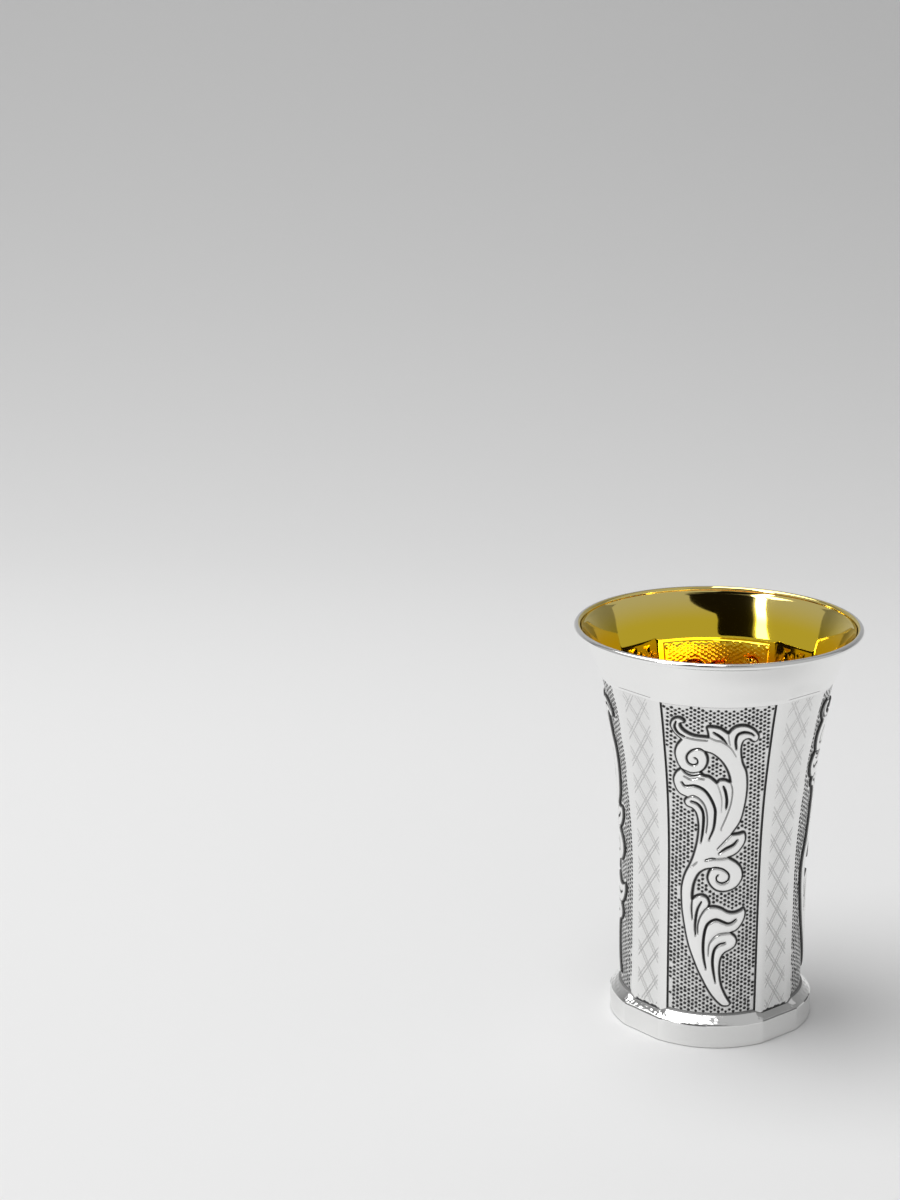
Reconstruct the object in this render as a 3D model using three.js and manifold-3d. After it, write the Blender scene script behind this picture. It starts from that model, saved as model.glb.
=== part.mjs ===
// A kiddush cup in sterling silver: an eight-sided beaker that flares to a round rim with a rolled
// bead, on a low eight-sided foot formed in one with it. Four wide, gently bulged sides each hold a
// sunk panel with a scroll of acanthus leaves in relief, and four narrow flat sides stand between them.
// Millimetres, +Z up, origin at the middle of the foot's underside, one wide side facing -Y.
import * as THREE from 'three';
import { mergeVertices } from 'three/addons/utils/BufferGeometryUtils.js';
import Module from 'manifold-3d';

const wasm = await Module();
wasm.setup();

// ---------------------------------------------------------------- driving dimensions

const RIM_RADIUS = 33; // outside of the rolled bead
const RIM_TOP = 94.7;
const BEAD_THICKNESS = 1.5;
const WALL = 0.8; // silver left behind the sunk panels
const PANEL_SINK = 0.3; // how far a panel's ground lies below the plain margin
const RELIEF_RISE = 0.6; // how far the leaves stand above that ground
const SKIRT_TOP = 5.5; // the foot's upright skirt ends here
const BODY_BOTTOM = 7; // and its ledge runs in to the body here
const FLOOR_TOP = 7.8;
const ROOF = FLOOR_TOP - WALL; // of the hollow under the foot
const ROOF_BEVEL = [1, 0.6]; // that roof's sloping rim: inwards, upwards

const SIDES = 4; // wide sides, with as many narrow ones between them
const WIDE_STEPS = 6; // flats that make up one bulged wide side
const NARROW_STEPS = 3;
const BEAD_STEPS = 36;
const BEAD_SECTION_STEPS = 8;

// Horizontal sections. `reach` is from the axis to the middle of a wide side, `depth` is from the
// axis to the line through that side's two corners, and `half` is half the distance between them.
const FOOT_SECTIONS = [
  { z: 0, reach: 23.7, depth: 19.7, half: 12.1 },
  { z: SKIRT_TOP, reach: 23.6, depth: 19.9, half: 12 },
];
const BODY_SECTIONS = [
  { z: BODY_BOTTOM, reach: 21.4, depth: 17.6, half: 11.6 },
  { z: 25, reach: 21.5, depth: 17.5, half: 11.7 },
  { z: 45, reach: 21.9, depth: 17.6, half: 12.2 },
  { z: 62, reach: 23.2, depth: 19.2, half: 12.9 },
  { z: 76, reach: 25.5, depth: 21.5, half: 13.7 },
  { z: 84, reach: 27.2, depth: 23.3, half: 14.5 },
];
const BODY_LEVELS = [BODY_BOTTOM, 30, 45, 58, 71, 84]; // heights of the rings that model it

// Above the panels the eight sides melt into a round flare.
const FLARE_BOTTOM = 84;
const ROUND_FROM = 90;
const FLARE = [[84, 27.3], [89, 29.4], [93.2, 31.8], [94, 32.4]]; // [z, radius]
const FLARE_LEVELS = [87, 90, 92.5, 94];

// A panel is a little narrower than its side: [z, half width] from its foot to its top edge.
const PANEL_EDGE = [[7.4, 10.2], [45, 10.5], [61, 11.1], [76, 12.3], [83.1, 13]];

// The scroll, as strands on the wide side: [across, up, half width] along the middle of each.
const LOWER_STEM = [
  [3.7, 10.3, 0.7], [1.5, 12.9, 1.4], [-0.9, 16.9, 1.6], [-2.6, 21.4, 1.8], [-4.3, 26.4, 1.7],
  [-6, 31.3, 1.1], [-6.1, 36.3, 1.1], [-5.4, 40.3, 1.1],
];
const UPPER_STEM = [
  [-4.2, 42.2, 1], [-2.4, 45.7, 1.8], [-0.8, 49.7, 2.8], [2.8, 54.6, 2.2], [5, 59.1, 1.7], [5.1, 64.1, 1.7],
  [4, 68.5, 1.9], [1.6, 72.3, 1.9],
];
const LEAVES = [
  [[-8.2, 79.2, 0.7], [-9.4, 78.2, 0.9], [-8.5, 76.3, 1], [-5.5, 75.3, 0.7], [-2, 74.8, 0.7]],
  [[-1.6, 77.4, 0.9], [0.5, 76.5, 1.6], [2.4, 74.2, 1.3], [4, 71, 0.8]],
  [[8.4, 75.2, 0.8], [7.7, 76.2, 1.3], [6.3, 77, 1.6], [4.7, 76.7, 1.7], [4, 74.5, 1.4], [4.3, 71, 1.2]],
  [
    [-8.6, 64.3, 1.3], [-7.2, 64, 3], [-4.6, 63.4, 2.6], [-2.2, 62.3, 2.4], [-0.5, 59.6, 2],
    [-0.7, 52.2, 1.5],
  ],
  [[-6.2, 59.4, 1], [-4.2, 59.3, 1.2], [-3, 57.1, 1.2], [-2.8, 53.2, 1.1], [-3.1, 49.2, 1.1]],
  [[1.4, 63.9, 1.2], [2.2, 60.6, 1.3], [2, 56.6, 1.2]],
  [[5.8, 51.1, 1], [4.9, 49.4, 1.8], [2.6, 48.1, 1.7], [0.5, 47.2, 1.2]],
  [[-2.6, 35.3, 1.3], [-3.6, 32.3, 1.3], [-3.8, 27.4, 1.1]],
  [
    [6.4, 32.2, 1], [5.1, 30.4, 2.2], [2.2, 30.6, 2.8], [-0.6, 29.9, 2.6], [-1.8, 26.4, 1.6],
    [-1.6, 20.4, 1.4],
  ],
  [[4.2, 25.5, 1.4], [2.2, 25.1, 2], [0.8, 22.9, 1.6], [0.3, 18.9, 1.4], [1, 15, 1.3]],
];
// Grooves down the middle of the larger leaves, cut to the ground.
const VEINS = [
  [[-7.5, 63.8, 0.3], [-4.7, 63.3, 0.3], [-2, 61.9, 0.3], [-0.2, 58.1, 0.3], [-0.6, 53.2, 0.1]],
  [[-5.5, 59.5, 0.3], [-3.5, 58.6, 0.3], [-2.7, 56.1, 0.2], [-2.8, 52.2, 0.1]],
  [[8, 76, 0.3], [5.8, 77, 0.3], [4.2, 75.8, 0.3], [4.2, 73, 0.1]],
  [[5, 30.6, 0.3], [3, 30, 0.3], [0.4, 30.8, 0.3], [-1.7, 28.1, 0.3], [-1.8, 21.4, 0.1]],
  [[2.8, 25.2, 0.3], [0.9, 24.2, 0.3], [0.1, 20.9, 0.3], [0.6, 16.4, 0.1]],
];
// A volute's band winds inwards round its eye from the end of its stem. Angles are in turns from +X,
// anticlockwise, and a negative winding is clockwise.
const LOWER_VOLUTE = { eye: [1.5, 41.3], start: [-3.9, 43.4, 1.1], from: 0.3, winding: -1.25 };
const UPPER_VOLUTE = { eye: [-5.3, 70.2], start: [-1.8, 74.1, 1.4], from: 0.2, winding: 1.25 };
const VOLUTE_RADIUS = [3.6, 0.8]; // of the band's middle, where it starts and where it ends
const VOLUTE_TIGHTENING = 1.3; // above 1, the band keeps wide at first
const VOLUTE_BAND = 0.38; // its half width, as a share of the radius
const VOLUTE_STOPS = 11;

const BLOCK_INNER = 10; // panels and strands are blocks that run from here, outside the axis,
const BLOCK_OUTER = 32; // to here
const SAMPLES = 8; // along a strand's curve, from one of its points to the next
const OUTLINE_TOLERANCE = 0.17; // a strand's edges keep only the points that this asks for

// ---------------------------------------------------------------- helpers

// A closed geometry becomes a solid that can be joined and cut.
function solid(geometry) {
  const bare = geometry.clone();
  bare.deleteAttribute('normal');
  bare.deleteAttribute('uv');
  const merged = mergeVertices(bare, 1e-4);
  return new wasm.Manifold(new wasm.Mesh({
    numProp: 3,
    vertProperties: Float32Array.from(merged.attributes.position.array),
    triVerts: Uint32Array.from(merged.index.array),
  }));
}

// And the finished solid becomes a geometry again.
function geometryOf(body) {
  const mesh = body.getMesh();
  const geometry = new THREE.BufferGeometry();
  geometry.setAttribute('position', new THREE.BufferAttribute(Float32Array.from(mesh.vertProperties), 3));
  geometry.setIndex(new THREE.BufferAttribute(Uint32Array.from(mesh.triVerts), 1));
  geometry.computeVertexNormals();
  return geometry;
}

// A smooth curve through [position, value] pairs, read at one position.
function smoothAt(pairs, position) {
  const end = pairs.length - 1;
  const slope = (k) => {
    const [before, low] = pairs[Math.max(k - 1, 0)];
    const [after, high] = pairs[Math.min(k + 1, end)];
    return (high - low) / (after - before);
  };
  const next = pairs.findIndex(([p]) => p > position);
  const k = next < 0 ? end - 1 : Math.max(next - 1, 0);
  const [p0, v0] = pairs[k];
  const [p1, v1] = pairs[k + 1];
  const span = p1 - p0;
  const t = (position - p0) / span;
  const leaving = slope(k) * span * t * (1 - t) ** 2;
  const arriving = slope(k + 1) * span * t * t * (t - 1);
  return v0 + (v1 - v0) * t * t * (3 - 2 * t) + leaving + arriving;
}

// One horizontal ring of points, anticlockwise from above. `grow` moves the surface out or in.
function sectionRing({ z, reach, depth, half }, grow = 0) {
  const a = half + grow * (Math.SQRT2 - 1);
  const b = depth + grow;
  const bulge = reach - depth;
  const axis = new THREE.Vector3(0, 0, 1);
  const ring = [];
  for (let side = 0; side < SIDES; side += 1) {
    const turn = (side * 2 * Math.PI) / SIDES;
    const put = (x, y) => ring.push(new THREE.Vector3(x, y, z).applyAxisAngle(axis, turn));
    for (let i = 0; i < WIDE_STEPS; i += 1) {
      const u = -1 + (2 * i) / WIDE_STEPS;
      put(u * a, -(b + bulge * (1 - u * u)));
    }
    for (let i = 0; i < NARROW_STEPS; i += 1) {
      const t = i / NARROW_STEPS;
      put(a + (b - a) * t, -b + (b - a) * t);
    }
  }
  return ring;
}

function bodySection(z) {
  const read = (key) => smoothAt(BODY_SECTIONS.map((section) => [section.z, section[key]]), z);
  return { z, reach: read('reach'), depth: read('depth'), half: read('half') };
}

// In the flare the ring grows out of the topmost section and turns into a circle.
function flareRing(z, grow = 0) {
  const radius = smoothAt(FLARE, z) + grow;
  const roundness = THREE.MathUtils.smoothstep(z, FLARE_BOTTOM, ROUND_FROM);
  const scale = radius / (FLARE[0][1] + grow);
  return sectionRing({ ...bodySection(FLARE_BOTTOM), z }, grow).map((point) => {
    const circle = new THREE.Vector3(point.x, point.y, 0).setLength(radius);
    const x = THREE.MathUtils.lerp(point.x * scale, circle.x, roundness);
    const y = THREE.MathUtils.lerp(point.y * scale, circle.y, roundness);
    return new THREE.Vector3(x, y, z);
  });
}

// A stack of rings becomes a closed body, with a flat cap below and above.
function stack(rings) {
  const n = rings[0].length;
  const positions = rings.flat().flatMap((p) => [p.x, p.y, p.z]);
  const index = [];
  for (let level = 0; level + 1 < rings.length; level += 1) {
    for (let i = 0; i < n; i += 1) {
      const j = (i + 1) % n;
      const [low, high] = [level * n, (level + 1) * n];
      index.push(low + i, low + j, high + j, low + i, high + j, high + i);
    }
  }
  for (const [ring, offset, up] of [[rings[0], 0, false], [rings.at(-1), (rings.length - 1) * n, true]]) {
    const flat = ring.map((p) => new THREE.Vector2(p.x, p.y));
    for (const [a, b, c] of THREE.ShapeUtils.triangulateShape(flat, [])) {
      index.push(...(up ? [a, b, c] : [a, c, b]).map((k) => k + offset));
    }
  }
  const geometry = new THREE.BufferGeometry();
  geometry.setAttribute('position', new THREE.Float32BufferAttribute(positions, 3));
  geometry.setIndex(index);
  return solid(geometry);
}

// An outline drawn on the front wide side (x across, y up) becomes a block that runs inwards.
function blockThrough(outline, turn) {
  const shape = new THREE.Shape(outline);
  const depth = BLOCK_OUTER - BLOCK_INNER;
  const geometry = new THREE.ExtrudeGeometry(shape, { depth, bevelEnabled: false, curveSegments: 1 });
  geometry.rotateX(Math.PI / 2);
  geometry.translate(0, -BLOCK_INNER, 0);
  geometry.rotateZ(turn);
  return solid(geometry);
}

// The fewest of a line's points that stay within a tolerance of all of them.
function thinned(points, tolerance) {
  const first = points[0];
  const last = points.at(-1);
  const chord = last.clone().sub(first);
  let worst = 0;
  let split = 0;
  for (let i = 1; i < points.length - 1; i += 1) {
    const offset = Math.abs(chord.cross(points[i].clone().sub(first))) / Math.max(chord.length(), 1e-6);
    if (offset > worst) {
      worst = offset;
      split = i;
    }
  }
  if (worst <= tolerance) {
    return [first, last];
  }
  const before = thinned(points.slice(0, split + 1), tolerance);
  return [...before.slice(0, -1), ...thinned(points.slice(split), tolerance)];
}

// A strand's outline: its two edges along a smooth middle line, with a blunt tip at each end.
function strandOutline(points) {
  const middleLine = points.map((point) => new THREE.Vector3(...point));
  const curve = new THREE.CatmullRomCurve3(middleLine, false, 'centripetal');
  const steps = SAMPLES * (points.length - 1);
  const left = [];
  const right = [];
  for (let i = 0; i <= steps; i += 1) {
    const middle = curve.getPoint(i / steps);
    const ahead = curve.getPoint(Math.min((i + 0.5) / steps, 1));
    const behind = curve.getPoint(Math.max((i - 0.5) / steps, 0));
    const along = new THREE.Vector2(ahead.x - behind.x, ahead.y - behind.y).setLength(middle.z);
    left.push(new THREE.Vector2(middle.x - along.y, middle.y + along.x));
    right.push(new THREE.Vector2(middle.x + along.y, middle.y - along.x));
    if (i === 0) {
      left.unshift(new THREE.Vector2(middle.x - along.x, middle.y - along.y));
    }
    if (i === steps) {
      left.push(new THREE.Vector2(middle.x + along.x, middle.y + along.y));
    }
  }
  return [...thinned(left, OUTLINE_TOLERANCE), ...thinned(right, OUTLINE_TOLERANCE).reverse()];
}

// A volute's strand, from the end of the stem round to its eye.
function voluteStrand({ eye, start, from, winding }) {
  const points = [start];
  for (let i = 0; i <= VOLUTE_STOPS; i += 1) {
    const t = i / VOLUTE_STOPS;
    const angle = (from + t * winding) * 2 * Math.PI;
    const radius = THREE.MathUtils.lerp(...VOLUTE_RADIUS, t ** VOLUTE_TIGHTENING);
    const across = eye[0] + radius * Math.cos(angle);
    const up = eye[1] + radius * Math.sin(angle);
    points.push([across, up, VOLUTE_BAND * radius]);
  }
  return points;
}

const union = (bodies) => bodies.reduce((sum, body) => sum.add(body));

// ---------------------------------------------------------------- the cup

// The outside of the cup, filled in, with its wide sides moved out or in by `grow`.
function outside(grow) {
  return stack([
    ...FOOT_SECTIONS.map((section) => sectionRing(section)),
    ...BODY_LEVELS.map((z) => sectionRing(bodySection(z), grow)),
    ...FLARE_LEVELS.map((z) => flareRing(z)),
  ]);
}

// What the cup holds: everything inside its wall, open at the top.
function inside() {
  const grow = -WALL - PANEL_SINK;
  return stack([
    ...[FLOOR_TOP, ...BODY_LEVELS.slice(1)].map((z) => sectionRing(bodySection(z), grow)),
    ...FLARE_LEVELS.map((z) => flareRing(z, grow)),
    flareRing(RIM_TOP, grow),
  ]);
}

// The hollow under the foot, open below, follows the skirt and the ledge.
function underside() {
  const [bottom, top] = FOOT_SECTIONS;
  const [inwards, upwards] = ROOF_BEVEL;
  return stack([
    sectionRing({ ...bottom, z: -1 }, -WALL),
    sectionRing({ ...top, z: SKIRT_TOP - WALL }, -WALL),
    sectionRing({ ...bodySection(BODY_BOTTOM), z: ROOF - upwards }, -WALL),
    sectionRing({ ...bodySection(BODY_BOTTOM), z: ROOF }, -WALL - inwards),
  ]);
}

function panelOutline() {
  const right = PANEL_EDGE.map(([z, half]) => new THREE.Vector2(half, z));
  const left = PANEL_EDGE.map(([z, half]) => new THREE.Vector2(-half, z));
  return [...right, ...left.reverse()];
}

// The scroll on one wide side: the strands joined, with the veins cut through them.
function scroll(turn) {
  const strands = [
    [...LOWER_STEM, ...voluteStrand(LOWER_VOLUTE)],
    [...UPPER_STEM, ...voluteStrand(UPPER_VOLUTE)],
    ...LEAVES,
  ];
  const raised = union(strands.map((points) => blockThrough(strandOutline(points), turn)));
  const grooves = union(VEINS.map((points) => blockThrough(strandOutline(points), turn)));
  return raised.subtract(grooves);
}

function cupSolid() {
  const ground = outside(-PANEL_SINK);
  const relief = outside(RELIEF_RISE - PANEL_SINK);
  let cup = outside(0);
  for (let side = 0; side < SIDES; side += 1) {
    const turn = (side * 2 * Math.PI) / SIDES;
    const panel = blockThrough(panelOutline(), turn);
    cup = cup.subtract(panel.subtract(ground)).add(scroll(turn).intersect(relief));
  }
  const beadRadius = BEAD_THICKNESS / 2;
  const bead = new THREE.TorusGeometry(RIM_RADIUS - beadRadius, beadRadius, BEAD_SECTION_STEPS, BEAD_STEPS);
  bead.translate(0, 0, RIM_TOP - beadRadius);
  return cup.subtract(inside()).subtract(underside()).add(solid(bead));
}

const silver = new THREE.MeshStandardMaterial({ color: 0xe4e4e6, roughness: 0.15, metalness: 1 });

const cup = new THREE.Mesh(geometryOf(cupSolid()), silver);
cup.name = 'cup';

const kiddushCup = new THREE.Group();
kiddushCup.add(cup);

export default kiddushCup;
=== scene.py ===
# A kiddush cup: sterling silver, gilded inside. An eight-sided beaker on a low foot, flared to a round
# rim with a rolled bead. Its four wide sides carry a chased scroll on a pitted ground, blackened in the
# hollows, and its four narrow sides a faint lattice. Sizes are in millimetres until a mesh is made.
import math

import bpy
import numpy as np
from mathutils import Matrix, Vector
from mathutils.geometry import delaunay_2d_cdt
from mathutils.kdtree import KDTree


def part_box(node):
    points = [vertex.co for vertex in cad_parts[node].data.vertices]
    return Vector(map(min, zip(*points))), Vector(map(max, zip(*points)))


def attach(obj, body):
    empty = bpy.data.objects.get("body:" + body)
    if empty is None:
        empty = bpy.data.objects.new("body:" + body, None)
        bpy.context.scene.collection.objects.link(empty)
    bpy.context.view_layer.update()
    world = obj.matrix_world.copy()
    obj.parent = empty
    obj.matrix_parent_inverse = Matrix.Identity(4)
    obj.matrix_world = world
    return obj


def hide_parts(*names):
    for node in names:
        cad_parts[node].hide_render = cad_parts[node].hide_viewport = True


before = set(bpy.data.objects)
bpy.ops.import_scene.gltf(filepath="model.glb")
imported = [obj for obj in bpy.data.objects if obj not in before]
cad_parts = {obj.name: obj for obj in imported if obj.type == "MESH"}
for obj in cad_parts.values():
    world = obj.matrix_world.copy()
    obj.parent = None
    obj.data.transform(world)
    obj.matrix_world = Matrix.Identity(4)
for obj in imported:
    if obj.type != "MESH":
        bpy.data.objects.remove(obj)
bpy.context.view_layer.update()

MM = 0.001
_, cup_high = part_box("cup")

# ------------------------------------------------------------------ sizes of the cup

RIM_RADIUS = cup_high.x / MM
RIM_TOP = cup_high.z / MM
BEAD_RADIUS = 0.75
GILDING_STARTS = 106  # degrees round the bead from its outermost line: just inside its top
WALL = 0.8
SKIRT_TOP = 5.5
FLOOR_TOP = 7.8
PANEL_SINK = 0.3  # the panels' ground lies this far below the plain silver round them
RELIEF_RISE = 0.6  # and the leaves stand this far above the ground
PANEL_FOOT = 7.4
PANEL_HEAD = 83.1
SIDES = 4

# Horizontal sections at a height z: from the axis to the middle of a wide side (reach), from the axis
# to the line through that side's corners (depth), and half the distance between those corners (half).
SECTION_Z = (7, 25, 45, 62, 76, 84)
REACH = (21.4, 21.5, 21.9, 23.2, 25.5, 27.2)
DEPTH = (17.6, 17.5, 17.6, 19.2, 21.5, 23.3)
HALF = (11.6, 11.7, 12.2, 12.9, 13.7, 14.5)
FOOT_SECTION = (23.6, 19.9, 12.0)
LEDGE_LUMPS = 0.045
BODY_FOOT = 6.7  # the ledge meets a narrow side here, and a wide side at the panel's foot

# Above the panels the eight sides melt into a round flare.
FLARE_FOOT = 84
ROUND_FROM = 87.5
FLARE_Z = (84, 89, 93.2, 94)
FLARE_RADIUS = (27.3, 29.4, 31.8, 32.4)

# Half the width of a panel, from its foot to its head.
PANEL_Z = (7.4, 45, 61, 76, 83.1)
PANEL_HALF = (10.2, 10.5, 11.1, 12.3, 13)

# ------------------------------------------------------------------ the scroll

# The edge of the scroll, lobe by lobe from the tip of its stem up the left and down the right.
# Each lobe is a smooth line, and two lobes meet in a point. (across, up) on the wide side.
SCROLL_EDGE = (
    [(4.5, 10.1), (3.9, 9.55), (3, 9.5), (2.2, 9.8), (0.8, 11.2), (-0.7, 13.25), (-2.4, 16.45),
     (-3.7, 19.25), (-5.7, 24.9), (-7, 31.8), (-7.3, 35.3), (-7.3, 38.25), (-6.7, 41.25), (-5.5, 44.2),
     (-4.7, 46.7), (-4, 50.2), (-3.8, 53.65), (-4.3, 56.45), (-5.2, 57.7), (-6.6, 58.3), (-7.05, 59.4),
     (-6.5, 60.4)],
    [(-6.5, 60.4), (-8.2, 61.1), (-9.2, 62.6), (-9.6, 64.55), (-9, 66.35), (-8, 67.35)],
    [(-8, 67.35), (-8.8, 68.65), (-9.4, 71), (-9, 73), (-8, 74.6)],
    [(-8, 74.6), (-9.6, 75.95), (-10.5, 77.55), (-10.3, 78.95), (-9.4, 79.85), (-8.3, 79.95), (-7.4, 79.35),
     (-7.6, 78.75), (-8.3, 78.55), (-8.2, 77.75), (-7.2, 76.75), (-5.2, 75.95), (-2, 75.75)],
    [(-2, 75.75), (-2.2, 76.95), (-2.45, 78.05), (-1.7, 78.4), (0.3, 78.15), (1.5, 77.45), (2.4, 76.75)],
    [(2.4, 76.75), (3, 77.65), (4.3, 78.55), (6.3, 78.55), (8.1, 77.45), (9.1, 75.95), (9, 74.8), (8.3, 74.3),
     (7.6, 74.6), (7.1, 75.1), (6.3, 75.1), (5.6, 74.4), (5.3, 72.5), (5.7, 69.5), (6.6, 67.05),
     (6.9, 64.05), (6.8, 61.1), (6.3, 57.6), (5.5, 54.65), (3.7, 51.75)],
    [(3.7, 51.75), (5.3, 51.85), (6.5, 52.05), (6.9, 50.85), (6.6, 49.2), (5.4, 47.4), (4.2, 46.5),
     (3.1, 46.1)],
    [(3.1, 46.1), (5, 44.8), (6.2, 43.05), (6.35, 40.75), (5.1, 38.75), (3, 37.8), (0.9, 37.9),
     (-0.7, 39.05), (-1.5, 40.85), (-1.3, 42.25), (-0.8, 43.35)],
    [(-0.8, 43.35), (-2, 43.05), (-3.4, 41.95), (-4.4, 39.75), (-4.8, 37.3), (-4.8, 35.5)],
    [(-4.8, 35.5), (-4.1, 36.3), (-2.7, 36.8), (-1.5, 36.3), (-0.9, 34.9), (-1.1, 34)],
    [(-1.1, 34), (0.3, 34.1), (1.8, 33.7), (3.3, 32.8), (4.8, 32.6), (6.1, 33), (6.9, 33.4),
     (7.3, 32.3), (7.1, 30.85), (6.3, 29.15), (5.2, 28.05), (4.1, 27.65)],
    [(4.1, 27.65), (5.1, 26.65), (5.5, 25.4), (5.1, 24.2), (4.1, 23.4), (2.8, 22.7), (2, 21.4), (1.7, 19.4),
     (1.8, 16.95), (2.3, 14.45), (3.3, 12.1), (4.5, 10.1)],
)
# The ground shows again inside the bend of the upper stem.
SCROLL_HOLE = (
    [(-2.7, 72.1), (-2.15, 70.8), (-2.1, 69.3), (-2.7, 67.85), (-3.6, 66.95)],
    [(-3.6, 66.95), (-2.9, 66.15), (-1.7, 65.95), (-0.7, 65.25), (0.1, 64.45)],
    [(0.1, 64.45), (0.7, 65.15), (1.8, 65.25), (3.1, 64.65)],
    [(3.1, 64.65), (2.8, 66.25), (2.1, 68.05), (0.9, 69.9), (-0.9, 71.5), (-2.7, 72.1)],
)
# Lines chased into the leaves: half width, how black they are, and the way they run.
CHASED_LINES = (
    (0.22, 1.0, [(-2.7, 72.1), (-4, 72.7), (-5.7, 72.1), (-6.7, 70.6), (-6.4, 69.1), (-5.2, 68.55),
                 (-4.3, 69.1), (-4.4, 70), (-4.9, 70.4)]),
    (0.20, 1.0, [(-0.8, 43.35), (0.3, 43.65), (2.1, 43.15), (3.3, 41.85), (3.1, 40.45), (1.8, 39.85),
                 (0.7, 40.35), (0.5, 41.25), (0.9, 41.85)]),
    (0.28, 1.0, [(-7.7, 63.95), (-6.9, 63.15), (-4.7, 63.45), (-2.7, 62.6), (-1.2, 60.6), (-0.2, 58.1),
                 (-0.1, 56.15), (-0.4, 53.15), (-1.3, 50.55)]),
    (0.16, 0.5, [(-7.2, 65.55), (-5.7, 64.95), (-4.2, 65.35), (-2.7, 65.25)]),
    (0.22, 1.0, [(-7.8, 67.25), (-6.7, 66.25), (-5.2, 65.85), (-3.6, 66.25), (-2.9, 66.15)]),
    (0.16, 0.8, [(-8, 67.35), (-5.7, 66.55), (-3.6, 66.95)]),
    (0.19, 0.7, [(-6.3, 60.3), (-5.2, 60.9), (-4, 60.5), (-2.7, 59.1), (-2, 57.1), (-1.8, 54.65),
                 (-2, 52.15)]),
    (0.28, 1.0, [(-5.5, 59.5), (-4.2, 59.1), (-3.2, 58), (-2.7, 56.45), (-2.7, 53.15), (-3.1, 49.7)]),
    (0.30, 1.0, [(1.6, 63.55), (2.1, 62.1), (2.4, 60.1), (2.3, 58.1)]),
    (0.12, 0.4, [(0.1, 64.45), (0.9, 62.1), (1.3, 60.1), (1.3, 57.6)]),
    (0.15, 0.55, [(3.1, 64.65), (3.6, 62.6), (3.4, 59.6), (2.6, 56.6), (1.3, 53.15)]),
    (0.26, 1.0, [(-9.3, 78.85), (-9.5, 77.55), (-8.7, 76.15), (-7.2, 75.35)]),
    (0.13, 0.5, [(-7.2, 75.35), (-5, 75), (-2.2, 74.9)]),
    (0.28, 1.0, [(-0.9, 76.95), (0.8, 75.75), (2.1, 74)]),
    (0.13, 0.45, [(-2, 75.75), (-0.2, 75), (0.8, 74.8), (2.8, 73.3), (4.2, 71)]),
    (0.13, 0.45, [(2.4, 76.75), (2.5, 75.25), (2.8, 73.8)]),
    (0.28, 1.0, [(4.2, 72.8), (4, 75), (4.5, 76.45), (5.8, 76.95), (7.3, 76.55), (8, 75.95)]),
    (0.28, 1.0, [(5, 50.2), (4.1, 49.2), (2.3, 48.2), (1, 47.1)]),
    (0.18, 0.7, [(3.7, 51.75), (2.3, 50.2), (0.6, 48.2)]),
    (0.12, 0.5, [(-5, 43.55), (-3.9, 44.7)]),
    (0.20, 0.9, [(-2, 45.4), (-0.7, 45.8), (0.3, 45.8)]),
    (0.18, 0.3, [(0.3, 45.8), (1.8, 45.9), (3.1, 46.1)]),
    (0.20, 0.9, [(-4.8, 35.5), (-4.9, 33.3), (-4.7, 30.85)]),
    (0.19, 0.8, [(-1.1, 34), (-2, 33.1), (-2.9, 31.35), (-3.4, 29.35), (-3.4, 27.35)]),
    (0.25, 1.0, [(-2.7, 35.1), (-3.5, 33.3), (-3.9, 30.85), (-4, 28.35), (-3.9, 26.95)]),
    (0.16, 0.6, [(4.1, 27.65), (2.3, 27.55), (1, 27.15), (-0.2, 25.85), (-0.8, 24.4), (-0.9, 22.2)]),
    (0.29, 1.0, [(5.1, 30.75), (4.3, 30.15), (3.3, 29.95), (2.3, 30.35), (0.8, 30.95), (-0.5, 30.45),
                 (-1.4, 29.35),
                 (-1.9, 27.35), (-2.1, 24.4), (-1.9, 21.4), (-1.4, 18.85)]),
    (0.27, 1.0, [(2.8, 25.2), (1.5, 24.8), (0.6, 23.8), (0.2, 22.4), (0.1, 20.4), (0.3, 18.45),
                 (0.8, 15.55)]),
)

# Pits punched into the ground, in columns that are staggered like a honeycomb.
PIT_ACROSS = 0.87
PIT_UP = 1.0
PIT_RADIUS = 0.36
PIT_DEPTH = 0.22
GROUND_TARNISH = (0.16, 0.1, 0.08)  # the blackening left on the ground between the pits, from foot to head

PLAIN_TARNISH = 0.03  # a breath of tarnish on the plain silver between the panels

# The faint lattice of the narrow sides: its diamonds, and the flat ribbon they are drawn with.
DIAMOND_WIDTH = 4.72
DIAMOND_HEIGHT = 6.75
DIAMOND_START = (71.7, 71.2, 70.8, 70.4)  # the height of one crossing, narrow side by narrow side
FIELD_LINE = 83.7  # a thin line is drawn across each narrow side at this height
RIBBON_HALF = 0.34
LATTICE_HALF = (3.2, 3.9)  # half the width it covers, at the foot and at the head
RIBBON_RISE = 0.035


# ------------------------------------------------------------------ curves and surfaces

def smooth_at(places, values, at):
    """A smooth curve through a few values, read at many places."""
    p, v, x = (np.asarray(a, float) for a in (places, values, at))
    slope = np.gradient(v)
    slope[1:-1] = (v[2:] - v[:-2]) / (p[2:] - p[:-2])
    slope[0] = (v[1] - v[0]) / (p[1] - p[0])
    slope[-1] = (v[-1] - v[-2]) / (p[-1] - p[-2])
    k = np.clip(np.searchsorted(p, x, side="right") - 1, 0, len(p) - 2)
    span = p[k + 1] - p[k]
    t = (x - p[k]) / span
    leaving = slope[k] * span * t * (1 - t) ** 2
    arriving = slope[k + 1] * span * t * t * (t - 1)
    return v[k] + (v[k + 1] - v[k]) * t * t * (3 - 2 * t) + leaving + arriving


def ramp(x, low, high):
    """0 below low, 1 above high, and smooth between."""
    t = np.clip((x - low) / (high - low), 0, 1)
    return t * t * (3 - 2 * t)


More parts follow.
